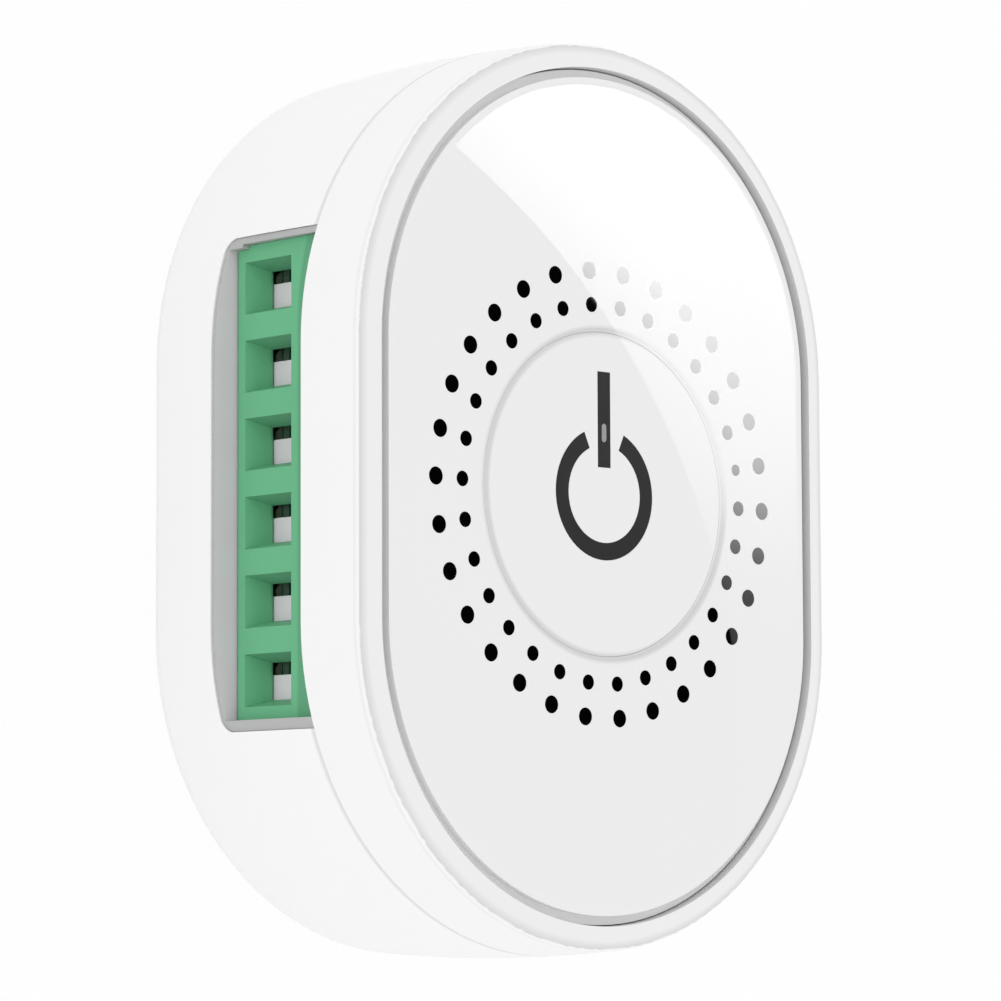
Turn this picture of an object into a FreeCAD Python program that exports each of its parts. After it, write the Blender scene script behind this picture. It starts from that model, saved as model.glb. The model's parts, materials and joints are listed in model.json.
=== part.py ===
import FreeCAD, Part
import math
import os

# Smart fan switch module: an obround plastic housing with a row of six screw terminals in its left
# side and a round push button in its front.
# Millimetres. The module lies on its flat back: +Z is out of the front face, +Y runs along the length
# and +X is to the right of someone looking at the front. The origin is the centre of the back face.

# Housing outline
half_width = 21.0            # half of the width, at the widest height
straight_half = 8.7          # half of the straight part of each side
depth = 21.0                 # back face to front rim
side_crown_radius = 132.0    # the side walls bulge a little
widest_height = 9.2
rear_edge_radius = 1.35
front_edge_radius = 0.3
wall = 1.6
floor = 1.6
cover_height = 5.6           # the front cover, from the rim down to where it meets the rear shell
parting_chamfer = 0.12
tongue_wall = 0.75           # the rear shell's rim that enters the front cover
tongue_height = 1.2
tongue_clearance = 0.05

# Front cover and front panel
cover_floor = 1.2
rim_width = 2.07             # round the recess that holds the panel
rim_land = 0.1               # flat, next to the recess: from there the rim slopes down outwards
rim_drop = 0.45
panel_groove = 0.65          # between the rim and the panel
panel_sink = 0.1             # the panel lies this far below the front rim
panel_plate = 0.6
panel_flange = 0.6
panel_side_clearance = 0.08
tape_thickness = 0.15
tape_margin = 0.5
web_over_dots = 0.2          # the panel is thin where the dots are
dot_count = 30
dot_turn = -1.1              # degrees
outer_dot_ring = 14.43
outer_dot_radius = 0.66
inner_dot_ring = 12.22
inner_dot_radius = 0.55
small_dot_index = 1          # one dot of the inner ring is smaller
small_dot_radius = 0.4
dot_ring_margin = 0.35
ring_clearance = 0.05

# Push button
button_radius = 10.45
button_gap = 0.06            # round the button, in the panel
button_relief = 0.25         # shallow step in the panel round the button
button_relief_depth = 0.1
button_travel = 0.4
button_plate = 1.3
button_flange_reach = 0.65
button_flange = 0.7
button_play = 0.05
button_edge_round = 0.05
flange_clearance = 0.2
guide_radius = 9.5
guide_wall = 0.8
guide_length = 1.2
guide_clearance = 0.2
symbol_depth = 0.2
symbol_radius = 4.28
symbol_stroke = 1.13
symbol_gap_half_angle = 24.0
symbol_bar_low = 1.7
symbol_bar_high = 7.9
inlay_clearance = 0.02
window_width = 0.4
window_length = 1.2
window_y = 3.94
window_foot_width = 1.8
window_foot_length = 2.2
window_foot = 1.3

# Circuit board
board_edge_gap = 1.8         # between the board and the shell
board_thickness = 1.6
switch_side = 5.2
switch_height = 1.9
switch_corner = 0.43
plunger_rise = 0.7           # above the switch
switch_skin = 0.3
plunger_radius = 1.7
plunger_flange_reach = 0.5
plunger_flange = 0.45
plunger_clearance = 0.05
plunger_chamfer = 0.2
switch_leg_half_pitch = 2.25
switch_leg_half_width = 0.35
switch_leg_reach = 0.9
switch_leg_thickness = 0.25
dome_radius = 2.2
dome_rise = 0.45
dome_sheet = 0.1
lamp_length = 2.0
lamp_width = 1.25
lamp_height = 0.7

# Terminal block
port_count = 6
port_pitch = 5.0
block_centre_y = 0.41
block_set_back = 1.85        # from the widest point of the housing to the face in the side opening
block_depth = 9.55
block_nose_low = 7.05        # the nose shows, the screw tower below it is set back behind the wall
tower_floor_gap = 0.6
block_tower_back = 1.5
block_lip = 1.4              # the part of the block in front of the board
block_cover_gap = 0.05
block_end_margin = 2.5       # end port's centre to the block's end
ridge_height = 0.24          # dovetail ridge on the upper end
ridge_low = 8.4
port_centre_z = 10.245
port_width = 4.59            # along Z
port_height = 3.34           # along Y
funnel_depth = 1.75
funnel_taper = 0.48
chamber_half_height = 1.95
chamber_front = 1.9          # behind the block's face
chamber_back = 8.3
chamber_roof = 0.75          # between the chambers and the board
opening_margin = 0.75
opening_rear_gap = 0.3
opening_corner = 1.0
block_edge_round = 0.25
surround_clearance = 0.03
surround_sink = 0.12
surround_depth = 0.85        # behind the block's face

# Terminal screws, cages and contacts
screw_set_back = 5.05        # from the block's face to the screws' axes
screw_head_radius = 1.8
screw_floor_gap = 0.95       # between the floor and the screw heads
screw_head = 1.4
screw_slot = 0.6
screw_slot_depth = 0.8
screw_radius = 1.25
screw_reach = 3.45           # from the head to the tip
screw_ledge = 0.35
screw_clearance = 0.05
screw_head_edge = 0.25
screw_tip_chamfer = 0.3
screw_slot_share = 0.7       # the short slot's half length over the head's radius
driver_hole_radius = 1.5
driver_hole_chamfer = 0.4
cage_half_height = 1.85
cage_side_wall = 0.4
cage_length = 4.4            # along X
cage_limb_gap = 0.1          # under the ledge, screwed shut
cage_top_limb = 0.8
cage_low_limb = 0.6
cage_travel = 2.25           # five turns of the screw
cage_end_gap = 0.25          # left above the guard, screwed open
cage_shut_gap = 0.05
guard_set_back = 2.0         # from the block's face
guard_sheet = 0.4
guard_top_y = 0.4
bar_tip_gap = 0.25           # between the screw's tip and the contact bar
bar_thickness = 0.6
bar_half_width = 1.3
bar_set_back = 2.25          # from the block's face
leg_set_back = 7.6
leg_thickness = 0.6
leg_half_width = 0.5
leg_clearance = 0.1
bar_chamfer = 0.4
pin_reach = 0.9              # beyond the board's front face
terminal_hole_radius = 0.75

# Snap clips, board supports and guide ribs
clip_width = 4.8
clip_thickness = 1.0
clip_clearance = 0.3
clip_drop = 2.8              # below the parting line
clip_nose = 1.2
clip_reach = 0.65
clip_window_clearance = 0.2
clip_lead_share = 0.75       # of the nose's height
side_clip_y = 5.5            # two clips on the right side, and one at each end
post_radius = 1.4
post_edge_gap = 2.0          # from the board's edge to the posts' axes
side_post_angle = 3.3
end_post_angle = 125.0
coil_post_gap = 0.3          # from the fourth post to the coil and the antenna
pad_radius = 1.2
rib_thickness = 1.0
rib_height = 6.4
rib_clearance = 0.1
rib_set_back = 1.15          # from the block's face
rib_length = 8.0

# Board components
lead_half = 0.3
lead_hole_radius = 0.5
case_chamfer = 0.4
case_end_chamfer = 0.3
relay_count = 3
relay_gap = 0.6              # between two relays
relay_block_gap = 2.45       # between the terminal block and the first relay
relay_can_gap = 1.1          # between the last relay and the output capacitor
relay_length = 20.3
relay_floor_gap = 1.35
relay_lead_shares = (0.076, 0.224)    # of the length, from each end
film_block_gap = 2.7
film_can_gap = 1.5
film_relay_gap = 1.15
film_width = 6.0
film_floor_gap = 2.25
film_lead_inset = 1.5
bulk_radius = 4.0
bulk_floor_gap = 2.25
bulk_edge_gap = 6.1          # from the board's edge to the axis
bulk_relay_gap = 0.25
output_radius = 3.15
output_floor_gap = 2.75
output_edge_gap = 4.0        # from the board's edge to the axis
output_y = -3.6
can_lead_half_pitch = 1.25
can_groove = 0.35
can_groove_height = 1.7      # from the board
can_shoulder = 0.5
can_score = 0.15
varistor_radius = 4.0
varistor_thickness = 3.4
varistor_edge = 0.85
varistor_film_gap = 1.4
varistor_rise = 1.0
varistor_lead_half_pitch = 2.5
varistor_lead_start = 2.0    # from the disc's axis
fuse_radius = 1.6
fuse_film_gap = 1.8
fuse_varistor_gap = 0.7
fuse_edge_gap = 5.9
fuse_rise = 0.3
fuse_lead_inset = 0.8
coil_x = -1.0
coil_relay_gap = 1.7
core_width = 10.5
core_height = 8.6
core_depth = 4.7
core_bar = 1.35
core_leg_half = 1.2
bobbin_flange = 0.6
bobbin_foot = 1.2
bobbin_reach = 2.2           # of the flanges, in front of and behind the core
bobbin_foot_half_depth = 0.85
winding_reach = 1.9
winding_round = 1.4
coil_pin_inset = 1.45
shield_coil_gap = 1.65
shield_edge_gap = 4.3
shield_width = 8.4
shield_height = 1.8
shield_relay_gap = 1.55
shield_sheet = 0.15
shield_round = 0.4
radio_chip_margin = 1.2
radio_chip_width = 5.0
radio_chip_height = 0.9
converter_edge_gap = 5.55
converter_coil_gap = 0.9
converter_width = 3.9
converter_height = 1.5
converter_y = -18.6
converter_legs = 4
chip_stand = 0.1
chip_chamfer = 0.2
chip_leg_inset = 0.545
chip_leg_thickness = 0.4
chip_leg_reach = 0.8
chip_leg_half = 0.2
rectifier_length = 4.6
rectifier_width = 3.8
rectifier_height = 1.6
rectifier_legs = 2
rectifier_edge_gap = 4.2
rectifier_y = 4.6
antenna_length = 6.5
antenna_width = 2.0
antenna_height = 1.1
antenna_end_gap = 2.1        # from the board's end
driver_length = 1.3
driver_width = 0.9
driver_height = 1.0
driver_relay_gap = 0.3

# How far cutters run past what they cut, and joined pieces into each other
overrun = 1.0
root = 0.5
same_place = 1e-4            # two edges nearer than this are at one place

# Places worked out from the sizes above
V = FreeCAD.Vector
parting_height = depth - cover_height
recess_half_width = half_width - rim_width
panel_half_width = recess_half_width - panel_groove
rim_edge = depth - rim_drop
panel_top = depth - panel_sink
panel_shoulder = panel_top - panel_plate
panel_base = panel_shoulder - panel_flange
recess_floor = panel_base - tape_thickness
cover_underside = recess_floor - cover_floor
button_base = panel_top - button_plate
flange_radius = button_radius + button_flange_reach
flange_top = button_base + button_flange
pocket_radius = flange_radius + flange_clearance
plunger_top = button_base - plunger_clearance
switch_top = plunger_top - plunger_rise
board_front = switch_top - switch_height
board_rear = board_front - board_thickness
board_half_width = half_width - wall - board_edge_gap
plunger_floor = board_front + switch_skin + dome_rise + plunger_clearance
dot_ring_inner = inner_dot_ring - inner_dot_radius - dot_ring_margin
dot_ring_outer = outer_dot_ring + outer_dot_radius + dot_ring_margin
ports = [block_centre_y + ((port_count - 1) / 2 - k) * port_pitch for k in range(port_count)]
block_face = block_set_back - half_width
block_low_y = ports[-1] - block_end_margin
block_high_y = ports[0] + block_end_margin
block_back_x = block_face + block_depth
lip_x = block_face + block_lip
lip_top = parting_height - block_cover_gap
tower_low = floor + tower_floor_gap
chamber_top = board_rear - chamber_roof
screw_x = block_face + screw_set_back
screw_head_low = floor + screw_floor_gap
screw_head_high = screw_head_low + screw_head
screw_tip = screw_head_high + screw_reach
ledge_low = screw_head_high + screw_clearance
ledge_high = ledge_low + screw_ledge
cage_low_z = ledge_high + cage_limb_gap
bar_low = screw_tip + bar_tip_gap
bar_high = bar_low + bar_thickness
low_limb_z = bar_high + cage_shut_gap
guard_x = block_face + guard_set_back
guard_end = chamber_top - cage_travel - cage_end_gap
bar_front_x = block_face + bar_set_back
leg_x = block_face + leg_set_back
rib_x_range = (block_face + rib_set_back, block_face + rib_set_back + rib_length)
clip_low = parting_height - clip_drop
clip_spots = [(0, side_clip_y), (0, -side_clip_y), (90, straight_half), (270, -straight_half)]
output_spot = (board_half_width - output_edge_gap, output_y)
bulk_spot = (board_half_width - bulk_edge_gap, relay_length / 2 + bulk_relay_gap + bulk_radius)
relay_row_start = block_back_x + relay_block_gap
relay_row_end = output_spot[0] - output_radius - relay_can_gap
relay_pitch = (relay_row_end - relay_row_start + relay_gap) / relay_count
relay_width = relay_pitch - relay_gap
relay_x_places = [relay_row_start + relay_width / 2 + k * relay_pitch for k in range(relay_count)]
relay_lead_spots = [side * relay_length * (1 / 2 - share) for side in (-1, 1) for share in relay_lead_shares]
film_x_range = (block_back_x + film_block_gap, bulk_spot[0] - bulk_radius - film_can_gap)
film_y = relay_length / 2 + film_relay_gap + film_width / 2
film_lead_spots = [(film_x_range[0] + film_lead_inset, film_y), (film_x_range[1] - film_lead_inset, film_y)]
varistor_spot = (0.0, film_y + film_width / 2 + varistor_film_gap + varistor_thickness / 2)
fuse_x_range = (varistor_radius + fuse_varistor_gap, board_half_width - fuse_edge_gap)
fuse_y = film_y + film_width / 2 + fuse_film_gap + fuse_radius
fuse_lead_spots = [(fuse_x_range[0] + fuse_lead_inset, fuse_y), (fuse_x_range[1] - fuse_lead_inset, fuse_y)]
coil_half_depth = core_depth / 2 + bobbin_reach
coil_spot = (coil_x, -relay_length / 2 - coil_relay_gap - coil_half_depth)
shield_x_range = (coil_x + core_width / 2 + shield_coil_gap, board_half_width - shield_edge_gap)
shield_y = -relay_length / 2 - shield_relay_gap - shield_width / 2
converter_x_range = (converter_edge_gap - board_half_width, coil_x - core_width / 2 - converter_coil_gap)


def box(x_range, y_range, z_range):
    size = [high - low for low, high in (x_range, y_range, z_range)]
    return Part.makeBox(*size, V(x_range[0], y_range[0], z_range[0]))


def around(centre, half):
    return (centre - half, centre + half)


def cylinder(radius, z_range, x=0.0, y=0.0):
    return Part.makeCylinder(radius, z_range[1] - z_range[0], V(x, y, z_range[0]))


def fused(shapes):
    return shapes[0].fuse(shapes[1:]).removeSplitter()


def prism(points, direction):
    """A prism on a flat polygon."""
    return Part.Face(Part.makePolygon(points + points[:1])).extrude(direction)


def pill(radius, half_straight, z_range, x=0.0, y=0.0):
    """An obround prism: two straight sides along Y joined by half circles."""
    low = z_range[0]
    right_low = V(x + radius, y - half_straight, low)
    right_high = V(x + radius, y + half_straight, low)
    left_low = V(x - radius, y - half_straight, low)
    left_high = V(x - radius, y + half_straight, low)
    top = V(x, y + half_straight + radius, low)
    bottom = V(x, y - half_straight - radius, low)
    edges = [
        Part.makeLine(right_low, right_high),
        Part.Arc(right_high, top, left_high).toShape(),
        Part.makeLine(left_high, left_low),
        Part.Arc(left_low, bottom, right_low).toShape(),
    ]
    return Part.Face(Part.Wire(edges)).extrude(V(0, 0, z_range[1] - low))


def obround(half, z_range):
    return pill(half, straight_half, z_range)


def half_width_at(z, inset=0.0):
    """Half of the housing's width at a height, inside its bulging wall by an inset."""
    radius = side_crown_radius - inset
    centre = half_width - side_crown_radius
    return centre + math.sqrt(radius ** 2 - (z - widest_height) ** 2)


def lines(points):
    return [Part.makeLine(start, end) for start, end in zip(points, points[1:])]


def mirrored(points):
    return [V(-point.x, 0, point.z) for point in reversed(points)]


def housing_form(inset, z_range, edge_height=None, land_reach=0.0):
    """The obround body with bulging sides, inside the outer wall by an inset.

    Its top is flat, or flat out to a reach and sloping from there down to an edge at a height.
    """
    low, high = z_range
    edge = edge_height or high
    side = [V(half_width_at(z, inset), 0, z) for z in (low, (low + edge) / 2, edge)]
    top = side[2:] + ([V(land_reach, 0, high)] if edge_height else [])
    axis_low, axis_high = V(0, 0, low), V(0, 0, high)
    half_profile = lines([axis_high, axis_low, side[0]]) + [Part.Arc(*side).toShape()]
    half_profile += lines(top + [axis_high])
    end = Part.Face(Part.Wire(half_profile)).revolve(V(0, 0, 0), V(0, 0, 1), 180)
    other_end = end.copy()
    other_end.rotate(V(0, 0, 0), V(0, 0, 1), 180)
    end.translate(V(0, straight_half, 0))
    other_end.translate(V(0, -straight_half, 0))
    other_side = mirrored(side)
    full_profile = lines([other_side[2], side[0]]) + [Part.Arc(*side).toShape()]
    full_profile += lines(top + mirrored(top)) + [Part.Arc(*other_side).toShape()]
    middle_part = Part.Face(Part.Wire(full_profile)).extrude(V(0, 2 * straight_half, 0))
    middle_part.translate(V(0, -straight_half, 0))
    return fused([end, other_end, middle_part])


def edges_at(shape, z, test=lambda edge: True):
    """The edges that lie in the plane at a height."""
    flat = [e for e in shape.Edges
            if abs(e.BoundBox.ZMin - z) < same_place and abs(e.BoundBox.ZMax - z) < same_place]
    return [edge for edge in flat if test(edge)]


def along(shape, axis):
    """The straight edges along one axis."""
    return [e for e in shape.Edges if len(e.Vertexes) == 2 and e.Curve.TypeId == "Part::GeomLine"
            and abs(abs(e.tangentAt(e.FirstParameter).dot(axis)) - 1) < same_place]


def save(name, shape):
    assert shape.isValid(), name
    shape.exportStep("parts/" + name + ".step")


# Housing

def opening_cutter(clearance, x_range):
    """The side opening round the terminal block, with round rear corners, less a clearance."""
    y_low = block_low_y - opening_margin + clearance
    y_high = block_high_y + opening_margin - clearance
    z_low = block_nose_low - opening_rear_gap + clearance
    z_high = board_front + tongue_height
    cutter = box(x_range, (y_low, y_high), (z_low, z_high))
    corners = [e for e in along(cutter, V(1, 0, 0)) if abs(e.BoundBox.ZMin - z_low) < same_place]
    return cutter.makeFillet(opening_corner, corners)


def placed_clip(shape, angle, shift):
    placed = shape.copy()
    placed.rotate(V(0, 0, 0), V(0, 0, 1), angle)
    placed.translate(V(0, shift, 0))
    return placed


def clip_arm():
    """A snap clip that hangs from the front cover, its nose pointing out along +X."""
    outside = half_width_at(parting_height + tongue_height, wall) - clip_clearance
    nose_tip = half_width_at(clip_low, wall) + clip_reach - clip_window_clearance
    lead_in = clip_low + clip_nose * clip_lead_share
    outline = [
        V(outside - clip_thickness, 0, clip_low),
        V(outside, 0, clip_low),
        V(nose_tip, 0, lead_in),
        V(nose_tip, 0, clip_low + clip_nose),
        V(outside, 0, clip_low + clip_nose),
        V(outside, 0, cover_underside + cover_floor / 2),
        V(outside - clip_thickness, 0, cover_underside + cover_floor / 2),
    ]
    arm = prism(outline, V(0, clip_width, 0))
    arm.translate(V(0, -clip_width / 2, 0))
    return arm


def post_places():
    """Three posts stand on a circle inside the board's edge, and one between the coil and the antenna."""
    reach = board_half_width - post_edge_gap
    side, end = math.radians(side_post_angle), math.radians(end_post_angle)
    side_x, side_y = reach * math.cos(side), straight_half + reach * math.sin(side)
    end_post = (reach * math.cos(end), straight_half + reach * math.sin(end))
    coil_post = (-antenna_length / 2 - coil_post_gap - post_radius,
                 coil_spot[1] - coil_half_depth - coil_post_gap - post_radius)
    return [(side_x, side_y), (side_x, -side_y), end_post, coil_post]


def clip_window():
    """The pocket in the rear shell's wall that the clip's nose snaps into."""
    inside = half_width_at(clip_low, wall)
    half = clip_width / 2 + clip_window_clearance
    return box((inside - wall, inside + clip_reach), (-half, half),
               (clip_low - clip_window_clearance, clip_low + clip_nose + clip_window_clearance))


def make_rear_shell():
    outside = housing_form(0, (0, parting_height))
    outside = outside.makeFillet(rear_edge_radius, edges_at(outside, 0))
    outside = outside.makeChamfer(parting_chamfer, edges_at(outside, parting_height))
    tongue_top = parting_height + tongue_height
    tongue = housing_form(wall - tongue_wall, (parting_height - wall, tongue_top))
    cavity = housing_form(wall, (floor, tongue_top))
    shell = outside.fuse(tongue).cut(cavity)

    posts = [cylinder(post_radius, (floor, board_rear), x, y) for x, y in post_places()]
    upper_rib = around(block_high_y + ridge_height + rib_clearance + rib_thickness / 2, rib_thickness / 2)
    lower_rib = around(block_low_y - rib_clearance - rib_thickness / 2, rib_thickness / 2)
    ribs = [box(rib_x_range, y_range, (floor, floor + rib_height)) for y_range in (upper_rib, lower_rib)]
    shell = shell.fuse(posts + ribs)

    cuts = [opening_cutter(0, (-half_width - wall, block_face + wall))]
    cuts += [placed_clip(clip_window(), *spot) for spot in clip_spots]
    for y in ports:
        cuts.append(cylinder(driver_hole_radius, (-overrun, floor + overrun), screw_x, y))
        cone_radius = driver_hole_radius + driver_hole_chamfer
        cuts.append(Part.makeCone(cone_radius, driver_hole_radius, driver_hole_chamfer, V(screw_x, y, 0)))
    return shell.cut(cuts).removeSplitter()


def make_front_cover():
    outside = housing_form(0, (parting_height, depth), rim_edge, recess_half_width + rim_land)
    outside = outside.makeFillet(front_edge_radius, edges_at(outside, rim_edge))
    outside = outside.makeChamfer(parting_chamfer, edges_at(outside, parting_height))
    cavity = housing_form(wall, (parting_height, cover_underside))
    rebate_inset = wall - tongue_wall - tongue_clearance
    rebate = housing_form(rebate_inset, (parting_height, parting_height + tongue_height + tongue_clearance))
    flange_floor = button_base - button_travel - button_play * 2
    cover = outside.cut([
        cavity,
        rebate,
        obround(recess_half_width, (recess_floor, depth + overrun)),
        cylinder(pocket_radius, (flange_floor, depth)),
        cylinder(guide_radius + guide_clearance, (parting_height, depth)),
    ])
    pads = [cylinder(pad_radius, (board_front, cover_underside + cover_floor / 2), x, y)
            for x, y in post_places()]
    arms = [placed_clip(clip_arm(), *spot) for spot in clip_spots]
    return cover.fuse(pads + arms).removeSplitter()


def make_terminal_surround():
    """The grey liner between the rear shell's side opening and the terminal block."""
    outer_x = -half_width - wall
    outer = opening_cutter(surround_clearance, (outer_x, block_face + surround_depth))
    below_skirt = box((outer_x, 0), (-half_width, half_width), (0, parting_height - surround_clearance))
    flush = housing_form(surround_sink, (floor, parting_height))
    gap = surround_clearance
    ridge_y = (block_low_y, block_high_y + ridge_height + gap)
    block_room = box((outer_x, 0), (block_low_y - gap, block_high_y + gap), (block_nose_low - gap, depth))
    ridge_room = box((outer_x, 0), ridge_y, (ridge_low - gap, depth))
    return outer.common(below_skirt).common(flush).cut([block_room, ridge_room]).removeSplitter()


# Front panel and button

def dot_cutters():
    z_range = (panel_base - overrun, depth + overrun)
    cutters = []
    for k in range(dot_count):
        angle = math.radians(k * 360 / dot_count + dot_turn)
        across, up = math.cos(angle), math.sin(angle)
        inner_radius = small_dot_radius if k == small_dot_index else inner_dot_radius
        cutters.append(cylinder(outer_dot_radius, z_range, outer_dot_ring * across, outer_dot_ring * up))
        cutters.append(cylinder(inner_radius, z_range, inner_dot_ring * across, inner_dot_ring * up))
    return cutters


def make_front_panel():
    plate = obround(panel_half_width, (panel_shoulder, panel_top))
    flange = obround(recess_half_width - panel_side_clearance, (panel_base, panel_shoulder))
    below = panel_base - overrun
    web_rear = panel_top - web_over_dots
    cuts = [
        cylinder(button_radius + button_gap, (below, depth)),
        cylinder(button_radius + button_relief, (panel_top - button_relief_depth, depth)),
        cylinder(pocket_radius, (below, flange_top + button_play)),
        cylinder(dot_ring_outer + ring_clearance, (below, web_rear)).cut(
            cylinder(dot_ring_inner - ring_clearance, (below, web_rear))),
    ]
    return plate.fuse(flange).cut(cuts + dot_cutters()).removeSplitter()


def make_dot_ring():
    z_range = (recess_floor, panel_top - web_over_dots)
    return cylinder(dot_ring_outer, z_range).cut(cylinder(dot_ring_inner, z_range))


def make_panel_tape():
    z_range = (recess_floor, panel_base)
    tape = obround(recess_half_width - tape_margin, z_range)
    return tape.cut(cylinder(dot_ring_outer + tape_margin, z_range))


def symbol_form(clearance, z_range):
    """The broken ring and bar of a standby mark, less a clearance at its edges."""
    low, high = z_range
    outer = symbol_radius - clearance
    inner = symbol_radius - symbol_stroke + clearance
    start = math.radians(90 + symbol_gap_half_angle)
    end = math.radians(450 - symbol_gap_half_angle)

    def point(radius, angle):
        return V(radius * math.cos(angle), radius * math.sin(angle), low)

    middle = (start + end) / 2
    outline = Part.Wire([
        Part.Arc(point(outer, start), point(outer, middle), point(outer, end)).toShape(),
        Part.makeLine(point(outer, end), point(inner, end)),
        Part.Arc(point(inner, end), point(inner, middle), point(inner, start)).toShape(),
        Part.makeLine(point(inner, start), point(outer, start)),
    ])
    ring = Part.Face(outline).extrude(V(0, 0, high - low))
    bar_half = symbol_stroke / 2 - clearance
    bar = box((-bar_half, bar_half), (symbol_bar_low + clearance, symbol_bar_high - clearance), z_range)
    return ring, bar


def window_form(clearance, z_range):
    return pill(window_width / 2 + clearance, (window_length - window_width) / 2, z_range, 0, window_y)


def make_button_cap():
    plate = cylinder(button_radius, (button_base, panel_top))
    plate = plate.makeFillet(button_edge_round, edges_at(plate, panel_top))
    flange = cylinder(flange_radius, (button_base, flange_top))
    guide = cylinder(guide_radius, (button_base - guide_length, button_base + button_flange / 2)).cut(
        cylinder(guide_radius - guide_wall, (button_base - guide_length, button_base)))
    cap = plate.fuse([flange, guide])
    recess = symbol_form(0, (panel_top - symbol_depth, depth + overrun))
    window = window_form(inlay_clearance, (button_base - overrun, depth))
    return cap.cut(list(recess) + [window]).removeSplitter()


def make_button_symbol():
    ring, bar = symbol_form(inlay_clearance, (panel_top - symbol_depth, panel_top))
    window = window_form(inlay_clearance, (button_base, depth))
    return Part.makeCompound([ring, bar.cut(window)])


def make_led_window():
    head = window_form(0, (button_base, panel_top))
    foot = pill(window_foot_width / 2, (window_foot_length - window_foot_width) / 2,
                (button_base - window_foot, button_base), 0, window_y)
    return head.fuse(foot).removeSplitter()


# Key switch under the button

def make_tact_switch():
    half = switch_side / 2
    body = box((-half, half), (-half, half), (board_front, switch_top))
    body = body.makeChamfer(switch_corner, along(body, V(0, 0, 1)))
    flange = plunger_radius + plunger_flange_reach + plunger_clearance
    skin_top = switch_top - switch_skin
    room = cylinder(flange, (board_front + switch_skin, skin_top))
    throat = cylinder(plunger_radius + plunger_clearance, (skin_top, switch_top + overrun))
    legs = [box((-half - switch_leg_reach, half + switch_leg_reach), around(y, switch_leg_half_width),
                (board_front, board_front + switch_leg_thickness))
            for y in (-switch_leg_half_pitch, switch_leg_half_pitch)]
    return body.cut([room, throat]).fuse(legs).removeSplitter()


def make_tact_plunger():
    stem = cylinder(plunger_radius, (plunger_floor, plunger_top))
    stem = stem.makeChamfer(plunger_chamfer, edges_at(stem, plunger_top))
    foot_radius = plunger_radius + plunger_flange_reach
    foot = cylinder(foot_radius, (plunger_floor, plunger_floor + plunger_flange))
    return stem.fuse(foot).removeSplitter()


def make_tact_dome():
    low = board_front + switch_skin
    rise = dome_rise - dome_sheet
    ball = (dome_radius ** 2 + rise ** 2) / (2 * rise)
    centre = V(0, 0, low + rise - ball)
    outer = Part.makeSphere(ball + dome_sheet, centre)
    inner = Part.makeSphere(ball, centre)
    slab = cylinder(dome_radius, (low, low + dome_rise))
    return outer.common(slab).cut(inner).removeSplitter()


# Circuit board and its components

def lead_spots():
    """Where round holes pass the leads of the tall components."""
    spots = [(x, y) for x in relay_x_places for y in relay_lead_spots]
    spots += film_lead_spots
    spots += pair(bulk_spot, can_lead_half_pitch)
    spots += pair(output_spot, can_lead_half_pitch)
    spots += pair(varistor_spot, varistor_lead_half_pitch)
    spots += fuse_lead_spots
    return spots + coil_pin_spots()


def pair(spot, half_pitch):
    x, y = spot
    return [(x - half_pitch, y), (x + half_pitch, y)]


def coil_pin_spots():
    x, y = coil_spot
    across = core_width / 2 - coil_pin_inset
    along_y = coil_half_depth - bobbin_foot_half_depth
    return [(x + side * across, y + end * along_y) for side in (-1, 1) for end in (-1, 1)]


def leads(spots, start=board_rear):
    """Square leads from a height up through the board."""
    return [box(around(x, lead_half), around(y, lead_half), (start, board_front + pin_reach))
            for x, y in spots]


def make_main_board():
    board = obround(board_half_width, (board_rear, board_front))
    z_range = (board_rear - overrun, board_front + overrun)
    holes = [cylinder(lead_hole_radius, z_range, x, y) for x, y in lead_spots()]
    leg_centre = leg_x + leg_thickness / 2
    holes += [cylinder(terminal_hole_radius, z_range, leg_centre, y) for y in ports]
    return board.cut(holes)


def moulded_case(x_range, y_range, low):
    """A component's case on the board's rear face, with its edges taken off."""
    case = box(x_range, y_range, (low, board_rear))
    case = case.makeChamfer(case_chamfer, along(case, V(0, 0, 1)))
    return case.makeChamfer(case_end_chamfer, edges_at(case, low))


def make_relay(x):
    case = moulded_case(around(x, relay_width / 2), around(0, relay_length / 2), floor + relay_floor_gap)
    return case.fuse(leads([(x, y) for y in relay_lead_spots])).removeSplitter()


def make_film_capacitor():
    case = moulded_case(film_x_range, around(film_y, film_width / 2), floor + film_floor_gap)
    return case.fuse(leads(film_lead_spots)).removeSplitter()


def make_can(spot, radius, floor_gap):
    """A can capacitor: a turned profile with the rolled groove near its base."""
    x, y = spot
    top = floor + floor_gap
    groove = board_rear - can_groove_height
    profile = [
        V(0, 0, board_rear),
        V(radius, 0, board_rear),
        V(radius, 0, groove + can_groove),
        V(radius - can_groove, 0, groove),
        V(radius, 0, groove - can_groove),
        V(radius, 0, top + can_shoulder),
        V(radius - can_shoulder, 0, top),
        V(0, 0, top),
    ]
    can = Part.Face(Part.makePolygon(profile + profile[:1])).revolve(V(0, 0, 0), V(0, 0, 1), 360)
    can.translate(V(x, y, 0))
    reach = radius - 3 * can_shoulder
    score_z = (top - overrun, top + can_score)
    score = [box(around(x, reach), around(y, can_score), score_z),
             box(around(x, can_score), around(y, reach), score_z)]
    return can.cut(score).fuse(leads(pair(spot, can_lead_half_pitch))).removeSplitter()


def make_varistor():
    x, y = varistor_spot
    height = board_rear - varistor_rise - varistor_radius
    disc = Part.makeCylinder(varistor_radius, varistor_thickness,
                             V(x, y - varistor_thickness / 2, height), V(0, 1, 0))
    disc = disc.makeChamfer(varistor_edge, disc.Edges)
    wires = leads(pair(varistor_spot, varistor_lead_half_pitch), height + varistor_lead_start)
    return disc.fuse(wires).removeSplitter()


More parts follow.
